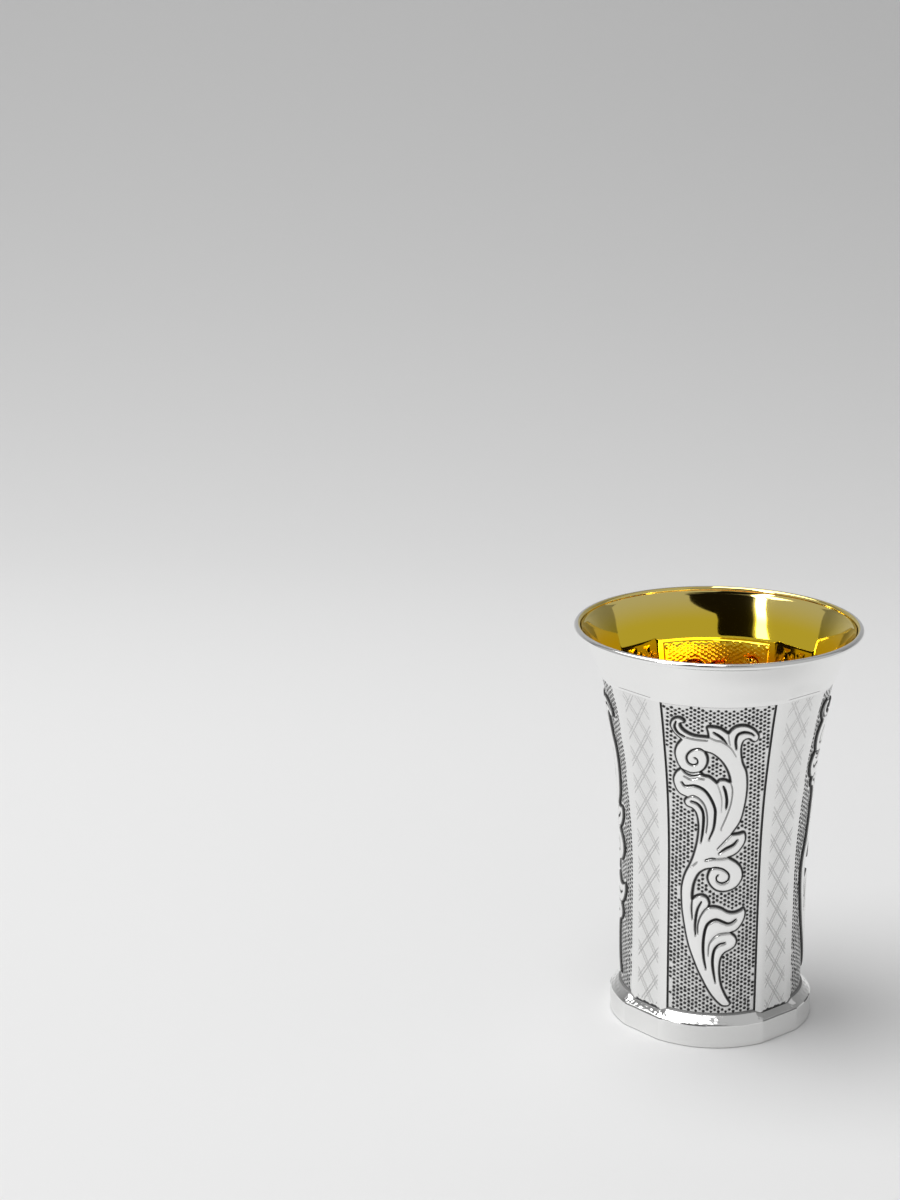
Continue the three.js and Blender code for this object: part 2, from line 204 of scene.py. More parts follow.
def section(z):
    low = np.minimum(z, FLARE_FOOT)
    return [smooth_at(SECTION_Z, row, low) for row in (REACH, DEPTH, HALF)]


def melted(x, y, z, grow):
    """Carries a point of the topmost section up the flare, where it moves onto a circle."""
    above = np.maximum(z, FLARE_FOOT)
    radius = smooth_at(FLARE_Z, FLARE_RADIUS, above) + grow
    scale = radius / (FLARE_RADIUS[0] + grow)
    here = np.hypot(x, y)
    roundness = ramp(above, FLARE_FOOT, ROUND_FROM)
    share = (1 - roundness) * scale + roundness * radius / here
    share = np.where(z > FLARE_FOOT, share, 1.0)
    return np.column_stack([x * share, y * share, z])


def wide_side(u, z, grow=0.0):
    """The front wide side: u runs from -1 to 1 between its corners."""
    reach, depth, half = section(z)
    x = u * (half + grow * (math.sqrt(2) - 1))
    y = -(depth + grow + (reach - depth) * (1 - u * u))
    return melted(x, y, z, grow)


def narrow_side(t, z, grow=0.0):
    """The narrow side to the right of it: t runs from 0 to 1."""
    _, depth, half = section(z)
    a = half + grow * (math.sqrt(2) - 1)
    b = depth + grow
    return melted(a + (b - a) * t, -b + (b - a) * t, z, grow)


def lifted(side, u, z, height, grow=0.0):
    """Points of a side, moved out along the surface's normal by a height each."""
    step = 1e-3
    place = side(u, z, grow)
    across = side(u + step, z, grow) - side(u - step, z, grow)
    up = side(u, z + step, grow) - side(u, z - step, grow)
    normal = np.cross(across, up)
    normal /= np.linalg.norm(normal, axis=1)[:, None]
    return place + normal * np.asarray(height)[..., None]


def through(points, step):
    """A smooth line through a few points, as points a step apart."""
    known = np.array(points, float)
    chords = np.hypot(*np.diff(known, axis=0).T)
    knots = np.concatenate([[0], np.cumsum(np.sqrt(chords))])
    fine = np.linspace(0, knots[-1], 30 * len(known))
    line = np.column_stack([smooth_at(knots, known[:, 0], fine), smooth_at(knots, known[:, 1], fine)])
    run = np.concatenate([[0], np.cumsum(np.hypot(*np.diff(line, axis=0).T))])
    even = np.linspace(0, run[-1], max(2, round(run[-1] / step) + 1))
    return np.column_stack([np.interp(even, run, line[:, 0]), np.interp(even, run, line[:, 1])])


def tree_of(points):
    tree = KDTree(len(points))
    for i, (x, y) in enumerate(points.tolist()):
        tree.insert((x, y, 0), i)
    tree.balance()
    return tree


def nearest(tree, s, z):
    """For many points, the distance to the nearest point of a tree, and which one it is."""
    found = [tree.find((x, y, 0))[1:] for x, y in zip(s.tolist(), z.tolist())]
    index = np.array([i for i, _ in found])
    return np.array([d for _, d in found]), index


# ------------------------------------------------------------------ the relief of a wide side

FINE = 0.08
edge_loops = [np.concatenate([through(lobe, FINE)[:-1] for lobe in loop])
              for loop in (SCROLL_EDGE, SCROLL_HOLE)]
edge_tree = tree_of(np.concatenate(edge_loops))
line_points = []
line_half = []
line_black = []
for half_width, black, points in CHASED_LINES:
    line = through(points, FINE)
    along = np.linspace(0, 1, len(line))
    taper = 0.45 + 0.55 * np.sqrt(np.sin(np.pi * np.clip(along * 0.9 + 0.07, 0, 1)))
    line_points.append(line)
    line_half.append(half_width * taper)
    line_black.append(np.full(len(line), black))
line_tree = tree_of(np.concatenate(line_points))
line_half = np.concatenate(line_half)
line_black = np.concatenate(line_black)


def panel_half(z):
    return smooth_at(PANEL_Z, PANEL_HALF, z)


def inside_scroll(s, z):
    """True where a point lies on the scroll, by counting the edges to its right."""
    crossed = np.zeros(len(s), int)
    for loop in edge_loops:
        after = np.roll(loop, -1, axis=0)
        for (x0, y0), (x1, y1) in zip(loop.tolist(), after.tolist()):
            if y0 != y1:
                rows = (z > min(y0, y1)) & (z <= max(y0, y1))
                crossed[rows] += s[rows] < x0 + (z[rows] - y0) * (x1 - x0) / (y1 - y0)
    return crossed % 2 == 1


def pit_centres():
    """Every pit that fits between the scroll and the panel's border, each a little off its place."""
    random = np.random.default_rng(7)
    col, row = (a.ravel() for a in np.meshgrid(np.arange(-16, 17), np.arange(80)))
    s = col * PIT_ACROSS + random.uniform(-0.04, 0.04, col.size)
    z = PANEL_FOOT + 0.6 + row * PIT_UP + (col % 2) * PIT_UP / 2 + random.uniform(-0.05, 0.05, col.size)
    size = PIT_RADIUS * random.uniform(0.88, 1.1, col.size)
    fits = (panel_half(z) - np.abs(s) > 0.68) & (z > PANEL_FOOT + 0.55) & (z < PANEL_HEAD - 0.6)
    s, z, size = s[fits], z[fits], size[fits]
    clear = (nearest(edge_tree, s, z)[0] > 0.54) & ~inside_scroll(s, z)
    return s[clear], z[clear], size[clear]


pit_s, pit_z, pit_size = pit_centres()
pit_tree = tree_of(np.column_stack([pit_s, pit_z]))


def relief(s, z, sharp=True):
    """Height over the plain silver, and how black the metal is, at points of a wide side.

    The inside of the cup shows the same relief from behind, softened by the metal's thickness.
    """
    off_edge = nearest(edge_tree, s, z)[0]
    off_line, which = nearest(line_tree, s, z)
    off_pit, pit = nearest(pit_tree, s, z)
    on_scroll = inside_scroll(s, z)
    half_width = line_half[which]
    black = line_black[which]
    off_side = panel_half(z) - np.abs(s)
    off_head = PANEL_HEAD - z
    off_foot = z - PANEL_FOOT
    off_border = np.minimum(off_side, np.minimum(off_head, off_foot))

    crown_width = 1.1
    to_groove = np.clip(np.minimum(off_edge, off_line - half_width * 0.5) / crown_width, 0, 1)
    crown = np.sqrt(1 - (1 - to_groove) ** 2)
    wall = ramp(off_edge, 0.02, 0.3 if sharp else 0.6)
    rise = RELIEF_RISE * wall * (0.5 + 0.5 * crown)
    rise -= 0.26 * black * np.exp(-((off_line / (half_width * (0.8 if sharp else 1.4))) ** 2))
    pit_reach = pit_size[pit] * (1.0 if sharp else 1.25)
    pit_shape = np.clip(1 - (off_pit / pit_reach) ** 2, 0, 1)
    sunk = -PANEL_SINK - PIT_DEPTH * pit_shape - 0.08 * np.exp(-((off_edge / 0.18) ** 2))
    height = np.where(on_scroll, -PANEL_SINK + rise, sunk)
    height *= ramp(off_border, 0.0, 0.22)
    height -= 0.06 * np.exp(-(((off_border - 0.22) / 0.12) ** 2))

    oxide_and_painted_shade = np.maximum(1 - ramp(off_edge, 0.22, 0.34), black * (1 - ramp(off_line - half_width, -0.02, 0.1)))
    oxide_and_painted_shade = np.where(on_scroll | (off_edge < 0.34), oxide_and_painted_shade, 0.0)
    tarnish = np.interp(z, (PANEL_FOOT, 45, PANEL_HEAD), GROUND_TARNISH)
    oxide_and_painted_shade = np.maximum(oxide_and_painted_shade, np.where(on_scroll, 0.0, tarnish))
    oxide_and_painted_shade = np.maximum(oxide_and_painted_shade, np.where(on_scroll, 0, 1 - ramp(off_pit / pit_size[pit], 0.86, 1.08)))
    oxide_and_painted_shade = np.maximum(oxide_and_painted_shade, 1 - ramp(off_side, 0.3, 0.42))
    oxide_and_painted_shade = np.maximum(oxide_and_painted_shade, 0.6 * (1 - ramp(off_head, 0.16, 0.3)))
    oxide_and_painted_shade = np.maximum(oxide_and_painted_shade, 0.85 * (1 - ramp(off_foot, 0.2, 0.34)))
    return height, oxide_and_painted_shade


# ------------------------------------------------------------------ meshes

def turned(points, side):
    """Points of the front side, moved round to another side."""
    angle = side * 2 * math.pi / SIDES
    cos, sin = round(math.cos(angle)), round(math.sin(angle))
    x, y, z = points.T
    return np.column_stack([cos * x - sin * y, sin * x + cos * y, z])


def make_piece(name, points, faces, material, oxide_and_painted_shade=None):
    """A smooth mesh object from points in millimetres."""
    mesh = bpy.data.meshes.new(name)
    mesh.from_pydata((points * MM).tolist(), [], faces)
    mesh.update()
    mesh.polygons.foreach_set("use_smooth", [True] * len(mesh.polygons))
    if oxide_and_painted_shade is not None:
        layer = mesh.attributes.new("oxide_and_painted_shade", "FLOAT", "POINT")
        layer.data.foreach_set("value", np.asarray(oxide_and_painted_shade, np.float32))
    mesh.materials.append(material)
    piece = bpy.data.objects.new(name, mesh)
    bpy.context.scene.collection.objects.link(piece)
    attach(piece, "root")
    return piece


def grid_faces(rows, columns, closed=False, start=0):
    """Four-sided faces between the points of a grid, stored row by row from below."""
    wraps = columns if closed else columns - 1
    faces = []
    for row in range(rows - 1):
        low = start + row * columns
        for i in range(wraps):
            j = (i + 1) % columns
            faces.append((low + i, low + j, low + columns + j, low + columns + i))
    return faces


def thinned(points, gap, taken=None):
    """Drops every point that is nearer than a gap to one before it."""
    taken = {} if taken is None else taken
    kept = []
    for x, y in points.tolist():
        cell = (math.floor(x / gap), math.floor(y / gap))
        near = [p for i in (-1, 0, 1) for j in (-1, 0, 1) for p in taken.get((cell[0] + i, cell[1] + j), ())]
        if all((x - a) ** 2 + (y - b) ** 2 > gap * gap for a, b in near):
            taken.setdefault(cell, []).append((x, y))
            kept.append((x, y))
    return np.array(kept)


def beside(line, offset):
    """A copy of a line, moved sideways by an offset."""
    along = np.gradient(line, axis=0)
    along /= np.linalg.norm(along, axis=1)[:, None]
    across = np.column_stack([-along[:, 1], along[:, 0]])
    return line + across * offset


PANEL_EDGE_CLEAR = 0.6  # the mesh is even, and follows no relief, this near a panel's edge


def panel_points(line_step, offsets, pit_rings, fill_step):
    """Points over a panel, close together where the relief is sharp and wide apart where it is calm."""
    z_fine = np.arange(PANEL_FOOT, PANEL_HEAD, line_step * 1.3)
    border = []
    for inset in (0, 0.11, 0.22, 0.34, 0.46):
        z = np.clip(z_fine, PANEL_FOOT + inset, PANEL_HEAD - inset)
        border += [np.column_stack([(panel_half(z) - inset) * hand, z]) for hand in (-1, 1)]
        for level in (PANEL_FOOT + inset, PANEL_HEAD - inset):
            reach = float(panel_half(level)) - inset
            s = np.linspace(-reach, reach, round(2 * reach / line_step))
            border.append(np.column_stack([s, np.full(s.size, level)]))
    lines = [through(lobe, line_step) for loop in (SCROLL_EDGE, SCROLL_HOLE) for lobe in loop]
    lines += [through(points, line_step) for _, _, points in CHASED_LINES]
    strips = np.concatenate([beside(line, offset) for offset in offsets for line in lines])
    within = panel_half(strips[:, 1]) - np.abs(strips[:, 0]) > PANEL_EDGE_CLEAR
    sharp = thinned(np.concatenate(border + [strips[within]]), min(line_step, 0.1) * 0.75)
    pits = [np.column_stack([pit_s, pit_z])]
    for share, count in pit_rings:
        for k in range(count):
            angle = 2 * math.pi * (k + 0.5 * (share < 1)) / count
            reach = pit_size * share
            pits.append(np.column_stack([pit_s + reach * math.cos(angle), pit_z + reach * math.sin(angle)]))
    pits = np.concatenate(pits)
    taken = {}
    for x, y in np.concatenate([sharp, pits]).tolist():
        cell = (math.floor(x / (fill_step * 0.6)), math.floor(y / (fill_step * 0.6)))
        taken.setdefault(cell, []).append((x, y))
    col, row = (a.ravel() for a in np.meshgrid(np.arange(-60, 61), np.arange(0, 400)))
    fill_s = col * fill_step + (row % 2) * fill_step / 2
    fill_z = PANEL_FOOT + row * fill_step * math.sqrt(0.75)
    fits = ((panel_half(fill_z) - np.abs(fill_s) > PANEL_EDGE_CLEAR)
            & (fill_z > PANEL_FOOT + PANEL_EDGE_CLEAR) & (fill_z < PANEL_HEAD - PANEL_EDGE_CLEAR))
    fill = thinned(np.column_stack([fill_s, fill_z])[fits], fill_step * 0.6, taken)
    return np.concatenate([sharp, pits, fill])


def triangles(points):
    """Joins a panel's points with triangles, on a plan that is squared up so that its edge is straight."""
    stretch = PANEL_HALF[0] / panel_half(points[:, 1])
    plan = [Vector((x * k, y)) for (x, y), k in zip(points.tolist(), stretch.tolist())]
    verts, _, faces, _, _, _ = delaunay_2d_cdt(plan, [], [], 0, 1e-6, False)
    placed = np.array([tuple(v) for v in verts])
    placed[:, 0] *= panel_half(placed[:, 1]) / PANEL_HALF[0]
    return placed, [tuple(face) for face in faces]


def chased_panels(material):
    plan, faces = triangles(panel_points(0.17, (0, 0.13, -0.13, 0.26, -0.26, 0.44, -0.44),
                                         ((1.06, 8), (0.84, 8)), 0.34))
    s, z = plan.T
    height, oxide_and_painted_shade = relief(s, z)
    front = lifted(wide_side, s / section(z)[2], z, height)
    names = ("front", "right", "back", "left")
    return [make_piece(f"chased_panel_{word}", turned(front, side), faces, material, oxide_and_painted_shade)
            for side, word in enumerate(names)]


def lattice(across, z, start):
    """Height and blackness of the faint lattice, at a distance from the middle of a narrow side."""
    steep = math.hypot(1 / DIAMOND_WIDTH, 1 / DIAMOND_HEIGHT)
    height = np.zeros(len(across))
    edge = np.full(len(across), 9.0)
    for lean in (1, -1):
        phase = across / DIAMOND_WIDTH + lean * (z - start) / DIAMOND_HEIGHT
        off = np.abs(phase - np.round(phase)) / steep
        height = np.maximum(height, 1 - ramp(off, RIBBON_HALF - 0.2, RIBBON_HALF + 0.02))
        edge = np.minimum(edge, np.abs(off - RIBBON_HALF))
    half_band = np.interp(z, (PANEL_FOOT, FLARE_FOOT), LATTICE_HALF)
    band = 1 - ramp(np.abs(across), half_band - 0.3, half_band + 0.1)
    band = band * (1 - ramp(z, 82.4, 83.2)) * ramp(z, 7.3, 7.7)
    faded = np.interp(z, (PANEL_FOOT, 40, FLARE_FOOT), (0.5, 0.42, 0.3))
    return RIBBON_RISE * height * band, faded * (1 - ramp(edge, 0.04, 0.17)) * band


def plain_between_panels(material):
    """From one panel's edge round the corner, over the narrow side and on to the next panel."""
    rows = np.concatenate([np.arange(BODY_FOOT - 0.15, 7.3, 0.1), np.arange(7.3, PANEL_HEAD, 0.25),
                           [PANEL_HEAD]])
    margin, facet = 7, 60
    facet_t = np.linspace(0, 1, facet)
    pieces = []
    for side in range(SIDES):
        points, oxide_and_painted_shade = [], []
        for z in rows:
            _, depth, half = section(z)
            edge = float(panel_half(max(z, PANEL_FOOT)) / half)
            u = edge + (1 - edge) * np.linspace(0, 1, margin)
            zs, zf = np.full(margin, z), np.full(facet, z)
            across = (facet_t - 0.5) * float(depth - half) * math.sqrt(2)
            rise, shade = lattice(across, zf, DIAMOND_START[side])
            uneven = 0.12 * np.sin(across * 2.3 + side) + 0.08 * np.sin(across * 5.1)
            # Along the foot of a narrow side: black in the joint with the ledge, and painted shadow where the
            # body meets it.
            joint_black_and_painted_shadow = 1 - ramp(z - uneven, BODY_FOOT + 0.28, BODY_FOOT + 0.5)
            joint_black_and_painted_shadow = 0.95 * joint_black_and_painted_shadow * (1 - ramp(np.abs(across), 3.4, 4.2))
            points.append(np.concatenate([wide_side(u, zs)[:-1], lifted(narrow_side, facet_t, zf, rise),
                                          turned(wide_side(-u[::-1], zs), 1)[1:]]))
            # Painted shade: the plain tarnish, darkened further over each narrow side, most across its
            # middle.
            painted_shade_film = PLAIN_TARNISH + 0.06 * ramp(0.5 - np.abs(facet_t - 0.5), -0.1, 0.4)
            middle_shade = np.maximum(painted_shade_film + (1 - painted_shade_film) * shade, joint_black_and_painted_shadow)
            plain = np.full(margin - 1, PLAIN_TARNISH)
            oxide_and_painted_shade.append(np.concatenate([plain, middle_shade, plain]))
        faces = grid_faces(len(rows), 2 * (margin - 1) + facet)
        placed = turned(np.concatenate(points), side)
        pieces.append(make_piece(f"lattice_side_{side + 1}", placed, faces, material, np.concatenate(oxide_and_painted_shade)))
    return pieces


def crowded(u):
    """Moves columns towards a side's corners, so that the corners stay crisp."""
    return np.sign(u) * (1 - (1 - np.abs(u)) ** 1.6)


def ring(z, grow=0.0, wide_steps=40, narrow_steps=20, shape=None):
    """One closed horizontal ring of the cup's surface."""
    out = []
    for side in range(SIDES):
        u = np.linspace(-1, 1, wide_steps + 1)[:-1]
        t = np.linspace(0, 1, narrow_steps + 1)[:-1]
        if shape is None:
            wide = wide_side(u, np.full(u.size, float(z)), grow)
            narrow = narrow_side(t, np.full(t.size, float(z)), grow)
        else:
            reach, depth, half = shape
            a, b = half + grow * (math.sqrt(2) - 1), depth + grow
            u = crowded(u)
            t = 0.5 + 0.5 * crowded(2 * t - 1)
            wide = np.column_stack([u * a, -(b + (reach - depth) * (1 - u * u)), np.full(u.size, float(z))])
            narrow = np.column_stack([a + (b - a) * t, -b + (b - a) * t, np.full(t.size, float(z))])
        out.append(turned(np.concatenate([wide, narrow]), side))
    return np.concatenate(out)


def bead_rings(direction, start, end):
    """Rings over part of the rolled bead, between two angles up from its outermost line."""
    middle_radius, middle_z = RIM_RADIUS - BEAD_RADIUS, RIM_TOP - BEAD_RADIUS
    rings = []
    for angle in np.radians(np.linspace(start, end, 2 + round((end - start) / 11))):
        height = np.full((len(direction), 1), middle_z + BEAD_RADIUS * math.sin(angle))
        rings.append(np.hstack([direction * (middle_radius + BEAD_RADIUS * math.cos(angle)), height]))
    return rings


def flare_and_bead(material):
    """The plain band above the panels, up to the rolled bead and over it to the gilding."""
    levels = np.concatenate([[PANEL_HEAD, 83.3, 83.5], FIELD_LINE + 0.05 * np.arange(-2, 3),
                             np.linspace(FLARE_FOOT, 93.25, 32)])
    rings = [ring(z) for z in levels]
    direction = rings[-1][:, :2] / np.hypot(*rings[-1][:, :2].T)[:, None]
    rings += bead_rings(direction, -128, GILDING_STARTS)
    points = np.concatenate(rings)
    along = np.arange(len(points)) % (len(direction) // SIDES)
    on_narrow = (along > 42) & (along < 59)
    line = 0.7 * (1 - ramp(np.abs(points[:, 2] - FIELD_LINE), 0.03, 0.1)) * on_narrow
    faces = grid_faces(len(rings), len(direction), closed=True)
    return make_piece("flare_and_rim_bead", points, faces, material, line)


def foot(material):
    """The skirt and the uneven ledge that climbs from it to the body."""
    skirt = [(0.0, 0.1), (0.05, 0.05), (0.14, 0.02), *((z, 0.0) for z in (0.3, 1.5, 3.0, 4.3, 5.0, 5.2))]
    ledge = [0.004, 0.015, 0.035, 0.06, 0.09, 0.13, 0.17, *np.linspace(0.22, 1.06, 18)]
    body = (REACH[0], DEPTH[0], HALF[0])
    wide_steps, narrow_steps = 96, 40
    per_side = wide_steps + narrow_steps
    index = np.arange(per_side * SIDES)
    local = index % per_side
    u = crowded(np.clip(-1 + 2 * local / wide_steps, -1, 1))
    on_wide = np.where(local <= wide_steps, 1 - ramp(np.abs(u), 0.86, 1.0), 0.0)
    climb = (BODY_FOOT - SKIRT_TOP) + (PANEL_FOOT - BODY_FOOT) * on_wide
    angle = 2 * math.pi * index / len(index)
    # The stamped edge is sharp in some places and soft in others.
    soft = 0.5 + 0.5 * np.sin(angle * 9 + 0.6) * np.sin(angle * 22 + 2.1)
    rings, oxide_and_painted_shade = [], []

    def ring_between(z, share):
        """A ring that lies a share of the way from the skirt to the body."""
        shape = tuple(f + (b - f) * share for f, b in zip(FOOT_SECTION, body))
        return ring(z, 0.0, wide_steps, narrow_steps, shape)

    for z, share in skirt:
        rings.append(ring_between(z, share))
        # Painted shade on the skirt, darkest across the middle of a wide side, and a painted contact shadow
        # and dark reflection along its lowest edge.
        painted_shade_film = 0.13 * np.where(local <= wide_steps, 1 - 0.8 * u * u, 0.35)
        oxide_and_painted_shade.append(np.maximum(painted_shade_film * (z > 0.2), 0.75 * (z < 0.1)))
    for share in ledge:
        points = ring_between(SKIRT_TOP, share)
        edge = 0.05 + 0.11 * soft
        rounded = np.sqrt(1 - (1 - np.clip(share / edge, 0, 1)) ** 2)
        points[:, 2] += -0.3 + 0.3 * rounded + climb * share * (1.12 - 0.12 * share)
        lumps = (np.sin(angle * 71 + 9 * share + 1.3) * np.sin(angle * 43 - 5 * share)
                 + 0.7 * np.sin(angle * 118 + 14 * share) * np.sin(angle * 31 + 21 * share))
        points[:, 2] += LEDGE_LUMPS * lumps * math.sin(math.pi * min(share, 1)) * (0.35 + 0.65 * on_wide)
        rings.append(points)
        # Black in the nick under the ledge's edge: in dashes on the left half of a wide side, all along a
        # narrow one.
        dashes = ramp(np.sin(angle * 17.0 + 0.4) + 0.5 * np.sin(angle * 41), 0.1, 0.35)
        dashes = dashes * ramp(-u, -0.15, 0.05)
        ledge_edge_black = np.where(local <= wide_steps, dashes, 0.9)
        inside_edge = ramp(share, 0.0, 0.015) * (1 - ramp(share, 0.07, 0.1))
        # Where the ledge meets the body: black in the joint, and painted shadow along it.
        ledge_top_black_and_painted_shadow = 0.95 * np.where(local <= wide_steps, 0.8, 1.0) * ramp(share, 0.86, 0.9)
        oxide_and_painted_shade.append(np.maximum(0.9 * ledge_edge_black * inside_edge, ledge_top_black_and_painted_shadow))
    points = np.concatenate(rings)
    faces = grid_faces(len(rings), len(index), closed=True)
    return make_piece("foot_ledge", points, faces, material, np.concatenate(oxide_and_painted_shade))


def foot_hollow(material):
    """The plain underside: the foot's edge, its inner wall and the roof of the hollow."""
    body = (REACH[0], DEPTH[0], HALF[0])
    rings = [ring(0.0, -0.25, shape=FOOT_SECTION), ring(0.0, -0.6, shape=FOOT_SECTION),
             ring(0.1, -0.78, shape=FOOT_SECTION), ring(0.3, -WALL, shape=FOOT_SECTION),
             ring(4.4, -WALL, shape=FOOT_SECTION), ring(4.9, -WALL - 0.25, shape=FOOT_SECTION),
             ring(6.3, -WALL, shape=body), ring(6.8, -WALL - 0.6, shape=body),
             ring(7.0, -WALL - 1.4, shape=body), ring(7.0, -8, shape=body), ring(7.0, -14, shape=body)]
    points = np.concatenate(rings + [np.array([[0, 0, 7.0]])])
    n = len(rings[0])
    faces = grid_faces(len(rings), n, closed=True)
    last = (len(rings) - 1) * n
    faces += [(last + i, last + (i + 1) % n, len(points) - 1) for i in range(n)]
    return make_piece("foot_hollow", points, faces, material, np.zeros(len(points)))


def gilded_inside(material):
    """The inside wall, where the relief shows from behind, with the inner flare and the floor."""
    points, faces = [], []

    def add(new_points, new_faces):
        offset = sum(len(p) for p in points)
        points.append(new_points)
        faces.extend([tuple(i + offset for i in face) for face in new_faces])

    plan, panel_faces = triangles(panel_points(0.3, (0, 0.2, -0.2, 0.5, -0.5), ((1.1, 5),), 0.55))
    s, z = plan.T
    height, _ = relief(s, z, sharp=False)
    front = lifted(wide_side, s / section(z)[2], z, 0.6 * height, -WALL)
    back_faces = [face[::-1] for face in panel_faces]
    rows = np.concatenate([np.linspace(PANEL_FOOT, 60, 50), np.linspace(60.5, PANEL_HEAD, 64)])
    margin, facet = 4, 26
    facet_t = np.linspace(0, 1, facet)
    strips = []
    for level in rows:
        _, depth, half = section(level)
        edge = float(panel_half(level) / half)
        u = edge + (1 - edge) * np.linspace(0, 1, margin)
        zs, zf = np.full(margin, level), np.full(facet, level)
        across = (facet_t - 0.5) * float(depth - half) * math.sqrt(2)
        rise, _ = lattice(across, zf, DIAMOND_START[0])
        # The stamping has puckered the thin metal behind the lattice.
        pucker = np.sin(across * 2.9 + 1.1 * math.sin(level * 0.55)) * np.sin(across * 1.3 + level * 0.4)
        pucker = 0.09 * pucker * (1 - ramp(np.abs(across), 3.2, 4.2)) * (1 - ramp(level, 80.5, 82.5))
        middle = lifted(narrow_side, facet_t, zf, 2.5 * rise + pucker, -WALL)
        left = wide_side(u, zs, -WALL)
        right = turned(wide_side(-u[::-1], zs, -WALL), 1)
        strips.append(np.concatenate([left[:-1], middle, right[1:]]))
    strip = np.concatenate(strips)
    strip_faces = [face[::-1] for face in grid_faces(len(rows), 2 * (margin - 1) + facet)]
    for side in range(SIDES):
        add(turned(front, side), back_faces)
        add(turned(strip, side), strip_faces)
    flare = [ring(level, -WALL) for level in np.linspace(PANEL_HEAD, 93.2, 26)]
    direction = flare[-1][:, :2] / np.hypot(*flare[-1][:, :2].T)[:, None]
    flare += bead_rings(direction, GILDING_STARTS, 196)[::-1]
    add(np.concatenate(flare), [face[::-1] for face in grid_faces(len(flare), len(direction), closed=True)])
    floor = [ring(FLOOR_TOP + 0.5, -WALL - inset) - np.array([0, 0, drop]) for inset, drop in
             ((0, 0), (0.15, 0.25), (0.5, 0.42), (1.2, 0.5), (6, 0.5), (11, 0.5), (14, 0.5))]
    n = len(floor[0])
    centre = np.array([[0, 0, FLOOR_TOP]])
    faces_in = grid_faces(len(floor), n, closed=True)
    last = (len(floor) - 1) * n
    faces_in += [(last + i, last + (i + 1) % n, last + n) for i in range(n)]
    add(np.concatenate(floor + [centre]), faces_in)
    return make_piece("gilded_inside", np.concatenate(points), faces, material)


# ------------------------------------------------------------------ materials

def linear(hex_colour):
    """An sRGB colour such as 'F2EFE9' as the linear values that a shader takes."""
    values = [int(hex_colour[i:i + 2], 16) / 255 for i in (0, 2, 4)]
    return (*[v / 12.92 if v <= 0.04045 else ((v + 0.055) / 1.055) ** 2.4 for v in values], 1.0)


def add_node(tree, kind, sockets=None, **settings):
    """Adds one node. A socket is given a value, or another node's output to be linked to."""
    made = tree.nodes.new(kind)
    for name, value in settings.items():
        setattr(made, name, value)
    for name, value in (sockets or {}).items():
        if isinstance(value, bpy.types.NodeSocket):
            tree.links.new(value, made.inputs[name])
        else:
            made.inputs[name].default_value = value
    return made


def new_material(name):
    material = bpy.data.materials.new(name)
    material.use_nodes = True
    material.node_tree.nodes.clear()
    return material, material.node_tree


def sterling_silver():
    """Sterling silver, stamped, chased and buffed.

    Buffing leaves a mirror with a slight swell and hair-fine marks. A dip in liver of sulphur blackens
    it, and polishing brings back the silver everywhere but in the pits, lines and grooves. The same black
    is also painted on as shade over the skirt and the narrow sides, as shadow where the body meets the
    ledge, and as a contact shadow along the foot's lowest edge.
    """
    material, tree = new_material("sterling_silver_polished_and_oxidised")
    place = add_node(tree, "ShaderNodeTexCoord")
    # The swell left by hand buffing is about 9 mm across.
    swell = add_node(tree, "ShaderNodeTexNoise", {"Vector": place.outputs["Object"], "Scale": 1 / (9 * MM),
                                                  "Detail": 1.0, "Roughness": 0.4})
    # Buffing marks are some 0.02 mm wide, drawn here ten times as coarse so that they show.
    marks = add_node(tree, "ShaderNodeTexNoise", {"Vector": place.outputs["Object"], "Scale": 1 / (0.2 * MM),
                                                  "Detail": 3.0, "Roughness": 0.6})
    swell_bump = add_node(tree, "ShaderNodeBump", {"Height": swell.outputs["Fac"], "Strength": 1.0,
                                                   "Distance": 0.02 * MM})
    bump = add_node(tree, "ShaderNodeBump", {"Height": marks.outputs["Fac"], "Strength": 0.1,
                                             "Distance": 0.004 * MM, "Normal": swell_bump.outputs["Normal"]})
    # The oxide attribute holds the real blackening, and also painted shade on the skirt and narrow sides and
    # painted shadow at the foot.
    oxide_and_painted_shade = add_node(tree, "ShaderNodeAttribute", attribute_name="oxide_and_painted_shade")
    # Where the black ends, it is rubbed away unevenly.
    rubbed = add_node(tree, "ShaderNodeMapRange", {"Value": marks.outputs["Fac"], "From Min": 0.3,
                                                   "From Max": 0.7, "To Min": 0.92, "To Max": 1.08})
    black = add_node(tree, "ShaderNodeMath", {0: oxide_and_painted_shade.outputs["Fac"], 1: rubbed.outputs["Result"]},
                     operation="MULTIPLY", use_clamp=True)
    colour = add_node(tree, "ShaderNodeMix", {"Factor": black.outputs["Value"], "A": linear("F6F6F5"),
                                              "B": linear("060606")}, data_type="RGBA")
    gloss = add_node(tree, "ShaderNodeMapRange", {"Value": black.outputs["Value"],
                                                  "To Min": 0.1, "To Max": 0.65})
    metal = add_node(tree, "ShaderNodeMapRange", {"Value": black.outputs["Value"],
                                                  "To Min": 1.0, "To Max": 0.0})
    shader = add_node(tree, "ShaderNodeBsdfPrincipled", {
        "Base Color": colour.outputs["Result"], "Metallic": metal.outputs["Result"],
        "Roughness": gloss.outputs["Result"], "Normal": bump.outputs["Normal"]})
    add_node(tree, "ShaderNodeOutputMaterial", {"Surface": shader.outputs["BSDF"]})
    return material


